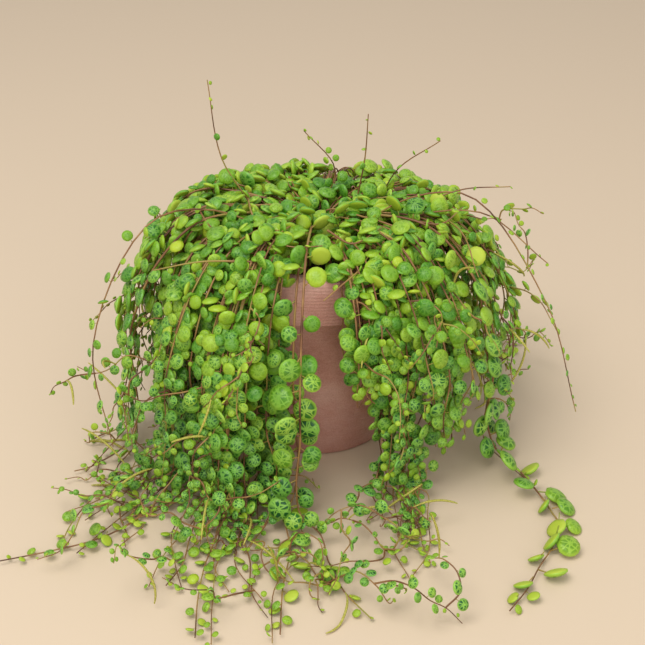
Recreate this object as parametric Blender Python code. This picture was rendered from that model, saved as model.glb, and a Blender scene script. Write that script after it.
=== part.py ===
"""Potted trailing peperomia: a clay pot, its soil and the rooted stems that spill over its rim.

Metres, +Z up. The origin is the middle of the pot's underside, and the side that faces the
viewer is -Y. Each rooted stem grew with its own leaves as one piece, so it is one closed body.
"""

import math
import random

import bmesh
import bpy
from mathutils import Matrix, Vector, noise
from mathutils.bvhtree import BVHTree
from mathutils.geometry import interpolate_bezier

# Pot
POT_HEIGHT = 0.113
RIM_RADIUS = 0.060
COLLAR_HEIGHT = 0.025
COLLAR_STEP = 0.0040
BASE_RADIUS = 0.040
WALL = 0.0055
POT_FLOOR = 0.0080
EDGE_ROUND = 0.0012
DRAIN_RADIUS = 0.0060
DRAIN_RING_RADIUS = 0.0220
DRAIN_COUNT = 3
POT_SIDES = 40

# Soil
SOIL_BELOW_RIM = 0.0120
SOIL_DOME = 0.0030
SOIL_BUMP = 0.0010
SOIL_SIDES = 32
SOIL_RINGS = 5

# Stems and leaves
STEM_RADIUS = 0.0008
LEAF_LENGTH = 0.0115
LEAF_WIDTH = 0.0115
LEAF_THICKNESS = 0.0014
PETIOLE = 0.0030
LEAF_SPACING = 0.0360
FIRST_LEAF = 0.0160
SHOOT_LEAF_SCALE = 0.45
SHOOT_LEAF_SPACING = 0.0220
SPIKE_LENGTH = 0.0450
SPROUT = 0.0100
LIE_HEIGHT = 0.0026
SHORTEST_HANG = 0.0120
MAX_TURN = math.radians(42)

# Room kept between touching pieces, beside a stem, and between leaves and what they grow beside
GAP = 0.0004
STEM_ROOM = 0.0008
LEAF_ROOM = 0.0004

# How far a stem is raised or turned about the pot's axis, and a leaf leaned, to find clear room
LIFTS = [step * 0.0015 for step in range(8)]
SHIFTS = (0.0, 2.0, -2.0, 4.0, -4.0, 8.0, -8.0, 12.0, -12.0, 16.0, -16.0)
LEANS = (0.25, 0.7, -0.2, 1.1)

# Where each layer of stems roots, how high it crosses the rim and how far out it hangs
LAYERS = {
    "inner": {"root": 0.043, "over_rim": 0.0050, "stand_off": 0.0095},
    "middle": {"root": 0.031, "over_rim": 0.0100, "stand_off": 0.0250},
    "outer": {"root": 0.018, "over_rim": 0.0150, "stand_off": 0.0400},
}
# The share of that height lost at the back of the pot, which grows towards less light
BACK_DROP = 0.5
# How a stem slopes outside the rim: shares of its stand-off, out and down, and a drop in metres
SLOPE = ((0.55, 0.35, 0.004), (0.88, 0.75, 0.012), (1.0, 0.60, 0.034))

# Azimuth in degrees over the rim, then the height a stem hangs to, or the places it lies through
HANGING = {
    "inner": [(-158, 0.020), (-72, 0.062), (-50, 0.034), (-24, 0.014), (2, 0.040), (28, 0.022),
              (54, 0.030), (80, 0.016), (106, 0.034), (132, 0.020), (158, 0.030), (180, 0.016)],
    "middle": [(-170, 0.036), (-76, 0.058), (-37, 0.016), (-12, 0.044), (15, 0.024), (41, 0.040),
               (67, 0.020), (119, 0.028), (145, 0.018), (168, 0.044)],
    "outer": [(-173, 0.048), (-50, 0.030), (3, 0.030), (52, 0.036), (82, 0.046), (132, 0.034),
              (156, 0.040)],
}
LYING = {
    "inner": [(-132, [(-0.072, -0.084), (-0.094, -0.098)]),
              (-108, [(-0.034, -0.112), (-0.030, -0.150)])],
    "middle": [(-147, [(-0.094, -0.068), (-0.114, -0.087), (-0.121, -0.118)]),
               (-121, [(-0.060, -0.112), (-0.068, -0.146)]),
               (-97, [(-0.012, -0.118), (-0.015, -0.178)]),
               (-60, [(0.050, -0.104), (0.054, -0.130)]),
               (93, [(-0.006, 0.108), (-0.016, 0.124)])],
    "outer": [(-159, [(-0.112, -0.050), (-0.124, -0.058)]),
              (-135, [(-0.081, -0.088), (-0.103, -0.112), (-0.148, -0.129)]),
              (-114, [(-0.050, -0.124), (-0.052, -0.180)]),
              (-94, [(0.006, -0.128), (0.025, -0.168)]),
              (-26, [(0.113, -0.080), (0.119, -0.103), (0.104, -0.134), (0.087, -0.163)]),
              (28, [(0.104, 0.060), (0.120, 0.074)]),
              (108, [(-0.036, 0.110), (-0.048, 0.122)])],
}
# Thin young shoots: where each one roots, then the places it grows through to its tip
SHOOTS = {
    "upright_shoot_01": [(-0.030, 0.004), (-0.047, 0.004, 0.150), (-0.052, 0.000, 0.192)],
    "upright_shoot_02": [(0.020, 0.008), (0.025, 0.010, 0.148), (0.026, 0.004, 0.173)],
    "upright_shoot_03": [(0.004, 0.020), (0.010, 0.021, 0.136), (-0.006, 0.020, 0.158)],
    "upright_shoot_04": [(0.032, 0.014), (0.040, 0.012, 0.138), (0.062, 0.004, 0.159)],
    "upright_shoot_05": [(0.041, 0.000), (0.072, 0.002, 0.133), (0.098, 0.000, 0.136)],
    "arching_shoot_01": [(0.038, -0.012), (0.080, -0.026, 0.134), (0.114, -0.034, 0.110)],
    "arching_shoot_02": [(0.024, -0.012), (0.070, -0.030, 0.146), (0.112, -0.046, 0.096),
                         (0.132, -0.050, 0.034)],
    "arching_shoot_03": [(-0.024, -0.022), (-0.072, -0.056, 0.146), (-0.104, -0.078, 0.090),
                         (-0.098, -0.084, 0.036)],
}
SPIKED_STEMS = {3, 9, 16, 23, 30}


def clear_scene():
    for obj in list(bpy.data.objects):
        bpy.data.objects.remove(obj, do_unlink=True)


def material(name, colour, roughness):
    made = bpy.data.materials.new(name)
    made.use_nodes = True
    shader = made.node_tree.nodes["Principled BSDF"]
    shader.inputs["Base Color"].default_value = (*colour, 1.0)
    shader.inputs["Roughness"].default_value = roughness
    shader.inputs["Metallic"].default_value = 0.0
    return made


def add_object(name, bm, finish, smooth_degrees=40):
    mesh = bpy.data.meshes.new(name)
    bmesh.ops.recalc_face_normals(bm, faces=bm.faces)
    bm.to_mesh(mesh)
    bm.free()
    mesh.shade_smooth()
    mesh.set_sharp_from_angle(angle=math.radians(smooth_degrees))
    mesh.materials.append(finish)
    obj = bpy.data.objects.new(name, mesh)
    bpy.context.scene.collection.objects.link(obj)
    return obj


def revolve(profile, sides):
    """Closed surface of revolution of (radius, height) points that start and end on the axis."""
    bm = bmesh.new()
    verts = [bm.verts.new((radius, 0.0, height)) for radius, height in profile]
    edges = [bm.edges.new(pair) for pair in zip(verts, verts[1:])]
    bmesh.ops.spin(
        bm, geom=verts + edges, cent=(0, 0, 0), axis=(0, 0, 1),
        angle=math.tau, steps=sides, use_merge=True,
    )
    bmesh.ops.remove_doubles(bm, verts=bm.verts, dist=1e-6)
    return bm


def rounded(corner, before, after, radius):
    """Three points that round a corner of an outline."""
    corner = Vector(corner)
    start = corner + (Vector(before) - corner).normalized() * radius
    end = corner + (Vector(after) - corner).normalized() * radius
    middle = corner * 0.5 + (start + end) * 0.25
    return [tuple(start), tuple(middle), tuple(end)]


def wall_radius(height):
    """Outer radius of the tapered wall under the collar."""
    top_radius = RIM_RADIUS - COLLAR_STEP
    return BASE_RADIUS + (top_radius - BASE_RADIUS) * height / POT_HEIGHT


def inner_radius(height):
    return wall_radius(height) - WALL


def pot_profile():
    collar_bottom = POT_HEIGHT - COLLAR_HEIGHT
    corners = [
        (BASE_RADIUS, 0.0),
        (wall_radius(collar_bottom), collar_bottom),
        (RIM_RADIUS - COLLAR_STEP * 0.25, collar_bottom),
        (RIM_RADIUS, POT_HEIGHT),
        (inner_radius(POT_HEIGHT), POT_HEIGHT),
        (inner_radius(POT_FLOOR), POT_FLOOR),
    ]
    outline = [(0.0, 0.0)]
    for index, corner in enumerate(corners):
        before = corners[index - 1] if index else (0.0, 0.0)
        after = corners[index + 1] if index + 1 < len(corners) else (0.0, POT_FLOOR)
        if index in (1, 5):
            outline.append(corner)
        else:
            outline.extend(rounded(corner, before, after, EDGE_ROUND))
    outline.append((0.0, POT_FLOOR))
    return outline


def drain_cutter():
    """One cutter that holds a round bar for each drainage hole."""
    bm = bmesh.new()
    for index in range(DRAIN_COUNT):
        turn = Matrix.Rotation(math.tau * index / DRAIN_COUNT, 4, "Z")
        place = turn @ Matrix.Translation((0.0, DRAIN_RING_RADIUS, POT_FLOOR / 2))
        bmesh.ops.create_cone(
            bm, cap_ends=True, segments=16, radius1=DRAIN_RADIUS, radius2=DRAIN_RADIUS,
            depth=POT_FLOOR * 2, matrix=place,
        )
    cutter = add_object("drain_cutter", bm, material("cutter", (0.5, 0.5, 0.5), 0.5))
    cutter.hide_render = True
    cutter.display_type = "WIRE"
    return cutter


def make_pot():
    clay = material("fired_clay", (0.42, 0.19, 0.13), 0.85)
    pot = add_object("pot", revolve(pot_profile(), POT_SIDES), clay)
    drains = pot.modifiers.new("drains", "BOOLEAN")
    drains.operation = "DIFFERENCE"
    drains.solver = "EXACT"
    drains.object = drain_cutter()
    return pot


def soil_surface(x, y):
    """Height of the soil's uneven, slightly domed top."""
    edge = inner_radius(POT_HEIGHT - SOIL_BELOW_RIM)
    dome = SOIL_DOME * (1.0 - (x * x + y * y) / (edge * edge))
    bump = SOIL_BUMP * noise.noise(Vector((x, y, 0.0)) * 120.0)
    return POT_HEIGHT - SOIL_BELOW_RIM + dome + bump


def make_soil():
    low = POT_FLOOR + GAP
    high = POT_HEIGHT - SOIL_BELOW_RIM
    edge_low = inner_radius(low) - GAP
    edge_high = inner_radius(high) - GAP
    profile = [(0.0, low), (edge_low, low), (edge_high, high)]
    profile += [(edge_high * (1 - ring / SOIL_RINGS), high) for ring in range(1, SOIL_RINGS + 1)]
    bm = revolve(profile, SOIL_SIDES)
    for vert in bm.verts:
        inside = math.hypot(vert.co.x, vert.co.y) < edge_high * 0.99
        if vert.co.z > high - 1e-6 and inside:
            vert.co.z = soil_surface(vert.co.x, vert.co.y)
    return add_object("potting_soil", bm, material("potting_soil", (0.045, 0.028, 0.018), 0.95))


def polar(radius, azimuth, height):
    angle = math.radians(azimuth)
    return Vector((radius * math.cos(angle), radius * math.sin(angle), height))


def smooth_curve(points, per_span=8):
    """Points along a curve through the given ones that doesn't swing past them."""
    gaps = [(b - a).length for a, b in zip(points, points[1:])]
    slopes = [(b - a) / gap for a, b, gap in zip(points, points[1:], gaps)]
    ways = [slopes[0]]
    for before, after, gap_before, gap_after in zip(slopes, slopes[1:], gaps, gaps[1:]):
        ways.append((before * gap_after + after * gap_before) / (gap_before + gap_after))
    ways.append(slopes[-1])
    curve = []
    for a, b, way_a, way_b, gap in zip(points, points[1:], ways, ways[1:], gaps):
        handles = (a + way_a * gap / 3, b - way_b * gap / 3)
        curve += interpolate_bezier(a, *handles, b, per_span + 1)[:-1]
    return curve + [points[-1].copy()]


class Route:
    """A smooth line that is read by its length along the stem.

    Its outer side starts towards the pot's axis at the root and is carried along without twist,
    so it faces up over the rim, away from the pot where the stem hangs, and up where it lies.
    """

    def __init__(self, points):
        self.points = smooth_curve(points)
        self.marks = [0.0]
        for a, b in zip(self.points, self.points[1:]):
            self.marks.append(self.marks[-1] + (b - a).length)
        self.length = self.marks[-1]
        facing = -Vector((*self.points[0].xy, 0.0))
        self.facings = []
        for index in range(len(self.points)):
            along = self.points[min(index + 1, len(self.points) - 1)] - self.points[max(index - 1, 0)]
            along.normalize()
            facing = (facing - along * facing.dot(along)).normalized()
            self.facings.append(facing.copy())

    def span(self, distance):
        """The pair of neighbouring points around a distance, and the share between them."""
        distance = min(max(distance, 0.0), self.length)
        index = next(i for i, mark in enumerate(self.marks[1:]) if mark >= distance - 1e-9)
        low, high = self.marks[index], self.marks[index + 1]
        return index, (distance - low) / max(high - low, 1e-9)

    def at(self, distance):
        index, share = self.span(distance)
        return self.points[index].lerp(self.points[index + 1], share)

    def along(self, distance):
        return (self.at(distance + 0.002) - self.at(distance - 0.002)).normalized()

    def outward(self, distance):
        index, share = self.span(distance)
        facing = self.facings[index].lerp(self.facings[index + 1], share)
        along = self.along(distance)
        return (facing - along * facing.dot(along)).normalized()


def over_the_rim(azimuth, layer, lift):
    """From the soil, over the rim and out to where the stem starts to hang."""
    root, stand_off = layer["root"], layer["stand_off"]
    kept = 1.0 - BACK_DROP * max(0.0, math.sin(math.radians(azimuth)))
    crest = POT_HEIGHT + layer["over_rim"] * kept + lift
    foot = polar(root, azimuth, 0.0)
    foot.z = soil_surface(foot.x, foot.y) + GAP + STEM_RADIUS
    return [
        foot,
        polar(root + 0.001, azimuth, crest - 0.006),
        polar((root + RIM_RADIUS) * 0.5, azimuth, crest),
        polar(RIM_RADIUS + 0.001, azimuth, crest - 0.001),
    ] + [
        polar(RIM_RADIUS + stand_off * out, azimuth, crest - stand_off * down - drop)
        for out, down, drop in SLOPE
    ]


def sway(rng, size=0.0022):
    return Vector((rng.uniform(-size, size), rng.uniform(-size, size), 0.0))


def hanging_route(azimuth, tip_height, layer, lift, rng):
    points = over_the_rim(azimuth, layer, lift)
    hang, top = RIM_RADIUS + layer["stand_off"], points[-1].z
    tip_height = min(tip_height, top - SHORTEST_HANG)
    steps = max(2, round((top - tip_height) / 0.026))
    for step in range(1, steps + 1):
        height = top + (tip_height - top) * step / steps
        points.append(polar(hang, azimuth, height) + sway(rng))
    return Route(points)


def lying_route(azimuth, places, layer, lift, rng):
    points = over_the_rim(azimuth, layer, lift)
    hang, top = RIM_RADIUS + layer["stand_off"], points[-1].z
    low = LIE_HEIGHT + lift * 0.6
    for share in (0.33, 0.66):
        points.append(polar(hang, azimuth, top * (1 - share)) + sway(rng))
    points.append(polar(hang + 0.003, azimuth, low + 0.007))
    points += [Vector((x, y, low)) for x, y in places]
    route = Route(points)
    for point in route.points:
        point.z = max(point.z, low)
    return route


def section(route, distance, scale):
    """Four corners of the stem, two on each side, with the middle faces looking sideways."""
    centre, along = route.at(distance), route.along(distance)
    out = route.outward(distance) * STEM_RADIUS * scale
    side = along.cross(route.outward(distance)) * STEM_RADIUS * scale
    return [centre - side - out, centre + side - out, centre + side + out, centre - side + out]


def leaf_loops(base, side, along, out, scale):
    """Neck, widest part and tip of one thick round leaf, as corners of a swept section."""
    def loop(reach, width, thickness):
        middle = base + side * reach
        return [(middle, along * width * 0.5, out * thickness * 0.5)]

    length, width, thickness = (v * scale for v in (LEAF_LENGTH, LEAF_WIDTH, LEAF_THICKNESS))
    stalk = PETIOLE * scale
    return (
        loop(stalk, width * 0.42, thickness * 0.8)
        + loop(stalk + length * 0.5, width, thickness)
        + loop(stalk + length, width * 0.45, thickness * 0.8)
    )


def extrude_to(bm, face, loops):
    """Grows a face through sections, each laid out like the face that it starts from."""
    signs = None
    for middle, half_width, half_thick in loops:
        centre = face.calc_center_median()
        if signs is None:
            signs = [
                (math.copysign(1, (v.co - centre).dot(half_width)),
                 math.copysign(1, (v.co - centre).dot(half_thick)))
                for v in face.verts
            ]
        face = bmesh.ops.extrude_discrete_faces(bm, faces=[face])["faces"][0]
        for vert, (wide, thick) in zip(face.verts, signs):
            vert.co = middle + half_width * wide + half_thick * thick


def boxed(loops, room):
    """Corners and faces of the leaf's hull, made larger by the room it needs."""
    corners, faces = [], []
    for middle, half_width, half_thick in loops:
        wide = half_width + half_width.normalized() * room
        thick = half_thick + half_thick.normalized() * room
        corners += [middle - wide - thick, middle + wide - thick,
                    middle + wide + thick, middle - wide + thick]
    for start in range(0, len(corners) - 4, 4):
        faces += [(start + i, start + (i + 1) % 4, start + 4 + (i + 1) % 4, start + 4 + i)
                  for i in range(4)]
    faces += [(3, 2, 1, 0), tuple(range(len(corners) - 4, len(corners)))]
    return corners, faces


def tube_shell(route, marks, room):
    corners, faces = [], []
    scale = 1.0 + room / STEM_RADIUS
    for mark in marks:
        corners += section(route, mark, scale)
    for start in range(0, len(corners) - 4, 4):
        faces += [(start + i, start + (i + 1) % 4, start + 4 + (i + 1) % 4, start + 4 + i)
                  for i in range(4)]
    return corners, faces


def touches(shell, others):
    corners, faces = shell
    if min(corner.z for corner in corners) < GAP:
        return True
    tree = BVHTree.FromPolygons(corners, faces)
    return any(tree.overlap(other) for other in others)


def section_marks(route, nodes):
    """Distances of the stem's sections: a close pair at each leaf node, more where it turns."""
    marks = {0.0, route.length}
    for node in nodes:
        marks |= {node - STEM_RADIUS, node + STEM_RADIUS}
    marks = sorted(marks)
    while True:
        extra = [
            (a + b) / 2 for a, b in zip(marks, marks[1:])
            if b - a > 0.006 and route.along(a).angle(route.along(b)) > MAX_TURN
        ]
        if not extra:
            return marks
        marks = sorted(marks + extra)


def taper(stem, mark):
    left = stem.route.length - mark
    reach = SPIKE_LENGTH if stem.spiked else LEAF_SPACING
    return 0.35 + 0.65 * min(left / reach, 1.0)


def stem_bmesh(stem):
    """The bare stem, and the two sideways faces of each of its spans."""
    bm = bmesh.new()
    rings = [
        [bm.verts.new(corner) for corner in section(stem.route, mark, taper(stem, mark))]
        for mark in stem.marks
    ]
    bm.faces.new(rings[0])
    bm.faces.new(rings[-1][::-1])
    sides = []
    for low, high in zip(rings, rings[1:]):
        span = [bm.faces.new((low[i], high[i], high[(i + 1) % 4], low[(i + 1) % 4]))
                for i in range(4)]
        sides.append((span[3], span[1]))
    return bm, sides


def add_leaves(bm, sides, stem, obstacles):
    """A leaf on each side at every node, leaning as it must to stay clear, or none."""
    route = stem.route
    for node in stem.nodes:
        span = next(i for i, mark in enumerate(stem.marks) if mark > node) - 1
        along, out = route.along(node), route.outward(node)
        across = along.cross(out)
        scale = stem.size * stem.rng.uniform(0.82, 1.06)
        for face, sign in zip(sides[span], (-1, 1)):
            for lean in LEANS:
                way = Matrix.Rotation(-sign * lean, 3, along) @ (across * sign)
                thick = way.cross(along).normalized()
                loops = leaf_loops(route.at(node), way, along, thick, scale)
                if not touches(boxed(loops, LEAF_ROOM), obstacles):
                    extrude_to(bm, face, loops)
                    obstacles.append(BVHTree.FromPolygons(*boxed(loops, 0.0)))
                    break


class Stem:
    """A stem whose route is settled, waiting for its leaves."""

    def __init__(self, name, route, spacing, size, spiked, seed):
        self.name, self.route, self.size, self.spiked = name, route, size, spiked
        self.rng = random.Random(seed)
        first = FIRST_LEAF + spacing * self.rng.uniform(0.0, 0.6)
        leafy_end = route.length - (SPIKE_LENGTH if spiked else spacing * 0.3)
        count = int((leafy_end - first) / spacing)
        self.nodes = [first + spacing * index for index in range(count + 1)]
        self.marks = section_marks(route, self.nodes)

    def shell(self, room):
        return tube_shell(self.route, self.marks, room)


def settle(make_stem, obstacles):
    """The first form of a stem that keeps clear of every piece already settled."""
    for lift in LIFTS:
        for shift in SHIFTS:
            stem = make_stem(lift, shift)
            if not touches(stem.shell(STEM_ROOM), obstacles):
                obstacles.append(BVHTree.FromPolygons(*stem.shell(0.0)))
                return stem
    raise ValueError("no clear route for a stem")


def trailing_stems(obstacles):
    stems = []
    for layer_name, layer in LAYERS.items():
        hanging = [(azimuth, hanging_route, tip) for azimuth, tip in HANGING[layer_name]]
        lying = [(azimuth, lying_route, places) for azimuth, places in LYING[layer_name]]
        for azimuth, route, end in hanging + lying:
            number = len(stems) + 1

            def make_stem(lift, shift):
                rng = random.Random(number)
                line = route(azimuth + shift, end, layer, lift, rng)
                name = f"trailing_stem_{number:02d}"
                return Stem(name, line, LEAF_SPACING, 1.0, number in SPIKED_STEMS, 100 + number)

            stems.append(settle(make_stem, obstacles))
    return stems


def young_shoots(obstacles):
    shoots = []
    for number, (name, (root, *places)) in enumerate(SHOOTS.items()):

        def make_shoot(lift, shift):
            turn = Matrix.Rotation(math.radians(shift), 3, "Z")
            foot = turn @ Vector((*root, soil_surface(*root) + SOIL_BUMP))
            sprout = foot + Vector((0.0, 0.0, SPROUT))
            raised = [turn @ Vector(place) + Vector((0.0, 0.0, lift)) for place in places[:-1]]
            line = Route([foot, sprout] + raised + [Vector(places[-1])])
            return Stem(name, line, SHOOT_LEAF_SPACING, SHOOT_LEAF_SCALE, False, 200 + number)

        shoots.append(settle(make_shoot, obstacles))
    return shoots


def grow(stem, obstacles, finish):
    bm, sides = stem_bmesh(stem)
    add_leaves(bm, sides, stem, obstacles)
    return add_object(stem.name, bm, finish, 30)


def evaluated_tree(obj):
    return BVHTree.FromObject(obj, bpy.context.evaluated_depsgraph_get())


clear_scene()
pot = make_pot()
soil = make_soil()
bpy.context.view_layer.update()
settled = [evaluated_tree(pot), evaluated_tree(soil)]
leafy_green = material("peperomia_leaf_and_stem", (0.16, 0.33, 0.05), 0.45)
young_red = material("young_peperomia_shoot", (0.30, 0.14, 0.07), 0.5)
trailing = trailing_stems(settled)
young = young_shoots(settled)
for stem in trailing:
    grow(stem, settled, leafy_green)
for stem in young:
    grow(stem, settled, young_red)
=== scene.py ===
import math
import random

import bmesh
import bpy
import numpy as np
from mathutils import Matrix, Vector, noise
from mathutils.geometry import interpolate_bezier


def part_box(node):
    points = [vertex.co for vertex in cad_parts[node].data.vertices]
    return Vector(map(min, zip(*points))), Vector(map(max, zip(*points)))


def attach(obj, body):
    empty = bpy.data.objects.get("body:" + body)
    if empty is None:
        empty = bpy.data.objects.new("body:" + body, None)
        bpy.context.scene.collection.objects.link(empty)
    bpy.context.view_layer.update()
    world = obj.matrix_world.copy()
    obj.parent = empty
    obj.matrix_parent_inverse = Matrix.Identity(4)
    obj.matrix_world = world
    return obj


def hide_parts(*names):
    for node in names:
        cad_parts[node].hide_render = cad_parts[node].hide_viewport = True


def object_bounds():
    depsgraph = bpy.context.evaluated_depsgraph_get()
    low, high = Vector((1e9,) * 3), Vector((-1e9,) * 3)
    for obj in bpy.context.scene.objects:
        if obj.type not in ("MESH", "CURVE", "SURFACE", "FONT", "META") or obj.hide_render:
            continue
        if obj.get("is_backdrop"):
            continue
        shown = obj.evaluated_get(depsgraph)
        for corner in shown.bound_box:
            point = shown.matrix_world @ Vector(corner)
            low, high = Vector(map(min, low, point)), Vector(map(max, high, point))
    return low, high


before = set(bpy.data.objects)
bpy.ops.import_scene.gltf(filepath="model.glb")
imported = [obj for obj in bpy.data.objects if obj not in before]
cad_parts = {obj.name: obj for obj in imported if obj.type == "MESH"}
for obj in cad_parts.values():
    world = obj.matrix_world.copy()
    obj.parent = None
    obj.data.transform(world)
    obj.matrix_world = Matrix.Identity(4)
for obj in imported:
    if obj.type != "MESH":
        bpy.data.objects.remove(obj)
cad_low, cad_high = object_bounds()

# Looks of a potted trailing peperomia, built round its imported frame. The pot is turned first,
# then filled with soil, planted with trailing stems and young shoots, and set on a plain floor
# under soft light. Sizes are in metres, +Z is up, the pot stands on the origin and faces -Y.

scene = bpy.context.scene

# ---------------------------------------------------------------------------------------------
# Clay pot. A tapered pot of unglazed red earthenware with a thick collar, pressed in a mould,
# fettled on a wheel and fired once. Its underside is flat, with three drainage holes.
# ---------------------------------------------------------------------------------------------
pot_low, pot_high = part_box("pot")
RIM_RADIUS = (pot_high.x - pot_low.x) / 2
POT_HEIGHT = pot_high.z
BASE_RADIUS = RIM_RADIUS * 2 / 3
COLLAR_HEIGHT = 0.025
COLLAR_STEP = 0.004
WALL = 0.0055
POT_FLOOR = 0.008
DRAIN_RADIUS = 0.006
DRAIN_RING_RADIUS = 0.022
DRAIN_COUNT = 3
EDGE_ROUND = 0.0016
SHARP_ANGLE = 0.3
POT_SIDES = 128
DRAIN_SIDES = 32


def linear(hex_colour):
    """A colour written as sRGB hex, turned to the linear values that shaders take."""
    parts = [int(hex_colour[i:i + 2], 16) / 255 for i in (1, 3, 5)]
    return tuple(c / 12.92 if c <= 0.04045 else ((c + 0.055) / 1.055) ** 2.4 for c in parts) + (1.0,)


def add_node(tree, kind, inputs=None, stops=(), **settings):
    """Adds a node and gives back its outputs. Each input is a value or a socket to link from.

    A colour ramp's stops are (place, hex colour) pairs.
    """
    node = tree.nodes.new(kind)
    for name, value in settings.items():
        setattr(node, name, value)
    for key, value in (inputs or {}).items():
        if isinstance(value, bpy.types.NodeSocket):
            tree.links.new(value, node.inputs[key])
        else:
            node.inputs[key].default_value = value
    for index, (place, colour) in enumerate(stops):
        elements = node.color_ramp.elements
        if index == 0 or index == len(stops) - 1:
            element = elements[0 if index == 0 else -1]
            element.position = place
        else:
            element = elements.new(place)
        element.color = linear(colour)
    return node.outputs


def new_material(name, **values):
    """A material with one Principled shader, whose constant values sit on its own sockets."""
    made = bpy.data.materials.new(name)
    made.use_nodes = True
    shader = made.node_tree.nodes["Principled BSDF"]
    for socket, value in values.items():
        shader.inputs[socket.replace("_", " ")].default_value = value
    return made, made.node_tree, shader


def select_only(*objects):
    bpy.ops.object.select_all(action="DESELECT")
    for obj in objects:
        obj.select_set(True)
    bpy.context.view_layer.objects.active = objects[0]


def wall_radius(height):
    top_radius = RIM_RADIUS - COLLAR_STEP
    return BASE_RADIUS + (top_radius - BASE_RADIUS) * height / POT_HEIGHT


def inner_radius(height):
    return wall_radius(height) - WALL


def turned(name, outline, sides):
    """A piece turned on a wheel: the outline of (radius, height) points spun round the axis."""
    mesh = bpy.data.meshes.new(name)
    corners = [(radius, 0.0, height) for radius, height in outline]
    mesh.from_pydata(corners, [(i, i + 1) for i in range(len(corners) - 1)], [])
    obj = bpy.data.objects.new(name, mesh)
    scene.collection.objects.link(obj)
    select_only(obj)
    bpy.ops.object.mode_set(mode="EDIT")
    bpy.ops.mesh.select_all(action="SELECT")
    bpy.ops.mesh.spin(steps=sides, angle=math.tau, center=(0, 0, 0), axis=(0, 0, 1))
    bpy.ops.mesh.select_all(action="SELECT")
    bpy.ops.mesh.remove_doubles(threshold=1e-6)
    bpy.ops.mesh.normals_make_consistent(inside=False)
    bpy.ops.object.mode_set(mode="OBJECT")
    return obj


collar_bottom = POT_HEIGHT - COLLAR_HEIGHT
pot = turned("clay_pot", [
    (0.0, 0.0),
    (BASE_RADIUS, 0.0),
    (wall_radius(collar_bottom), collar_bottom),
    (RIM_RADIUS - COLLAR_STEP * 0.25, collar_bottom),
    (RIM_RADIUS, POT_HEIGHT),
    (inner_radius(POT_HEIGHT), POT_HEIGHT),
    (inner_radius(POT_FLOOR), POT_FLOOR),
    (0.0, POT_FLOOR),
], POT_SIDES)
select_only(pot)
bpy.ops.object.mode_set(mode="EDIT")
bpy.ops.mesh.select_mode(type="EDGE")
bpy.ops.mesh.select_all(action="DESELECT")
bm = bmesh.from_edit_mesh(pot.data)
for edge in bm.edges:
    level = abs(edge.verts[0].co.z - edge.verts[1].co.z) < 1e-6
    ring = abs(edge.verts[0].co.xy.length - edge.verts[1].co.xy.length) < 1e-5
    if level and ring and edge.calc_face_angle(0) > SHARP_ANGLE:
        edge.select_set(True)
bmesh.update_edit_mesh(pot.data)
bpy.ops.mesh.bevel(offset=EDGE_ROUND, segments=4, profile=0.5)
bpy.ops.mesh.select_mode(type="VERT")
bpy.ops.object.mode_set(mode="OBJECT")
for index in range(DRAIN_COUNT):
    turn = math.tau * index / DRAIN_COUNT
    place = (-DRAIN_RING_RADIUS * math.sin(turn), DRAIN_RING_RADIUS * math.cos(turn), POT_FLOOR / 2)
    bpy.ops.mesh.primitive_cylinder_add(
        vertices=DRAIN_SIDES, radius=DRAIN_RADIUS, depth=POT_FLOOR * 2, location=place)
    drill = bpy.context.active_object
    select_only(pot)
    drain = pot.modifiers.new("drain", "BOOLEAN")
    drain.operation = "DIFFERENCE"
    drain.object = drill
    bpy.ops.object.modifier_apply(modifier=drain.name)
    bpy.data.objects.remove(drill)
bpy.ops.object.shade_smooth_by_angle(angle=math.radians(35))

# Fired earthenware: matt and pinkish brown, with paler lime bloom in clouds, a fine grit, faint
# rings from the wheel, and painted shade that darkens the foot towards the floor.
GRIT = 0.0006
WHEEL_RING = 0.0018
# How high the painted shade on the pot's foot reaches.
FOOT_SHADE_HEIGHT = 0.045
# How far apart a Wave texture's bands are at a Scale of 1.
WAVE_PITCH = 0.314
clay, tree, shader = new_material("earthenware_pressed_and_fired", Roughness=0.82, Specular_IOR_Level=0.25)
place = add_node(tree, "ShaderNodeTexCoord")["Object"]
cloud = add_node(tree, "ShaderNodeTexNoise", {"Vector": place, "Scale": 38.0, "Detail": 5.0,
                                              "Roughness": 0.6})
body = add_node(tree, "ShaderNodeValToRGB", {"Fac": cloud["Fac"]},
                [(0.26, "#BC7F72"), (0.50, "#D49C8E"), (0.74, "#E6BAAE")])["Color"]
grain = add_node(tree, "ShaderNodeTexNoise", {"Vector": place, "Scale": 1 / GRIT, "Detail": 2.0})["Fac"]
grains = add_node(tree, "ShaderNodeValToRGB", {"Fac": grain},
                  [(0.35, "#B0705C"), (0.65, "#E8BAA8")])["Color"]
# A Mix node's colour sockets are its inputs 6 and 7 and its output 2.
gritty = add_node(tree, "ShaderNodeMix", {0: 0.25, 6: body, 7: grains}, data_type="RGBA")[2]
height = add_node(tree, "ShaderNodeSeparateXYZ", {0: place})["Z"]
# Painted shade: near the floor the clay is mixed towards a darker, shaded clay colour.
foot_shade_mask = add_node(tree, "ShaderNodeMapRange", {"Value": height, "From Min": 0.0, "From Max": FOOT_SHADE_HEIGHT,
                                             "To Min": 0.35, "To Max": 0.0})["Result"]
footed = add_node(tree, "ShaderNodeMix", {0: foot_shade_mask, 6: gritty, 7: linear("#8A5C52")}, data_type="RGBA")[2]
tree.links.new(footed, shader.inputs["Base Color"])
rings = add_node(tree, "ShaderNodeTexWave", {"Vector": place, "Scale": WAVE_PITCH / WHEEL_RING,
                                             "Distortion": 1.5, "Detail": 2.0},
                 wave_type="BANDS", bands_direction="Z")["Fac"]
relief = add_node(tree, "ShaderNodeMath", {0: grain, 1: rings}, operation="ADD")[0]
bump = add_node(tree, "ShaderNodeBump", {"Height": relief, "Strength": 0.25, "Distance": 0.0004})["Normal"]
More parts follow.
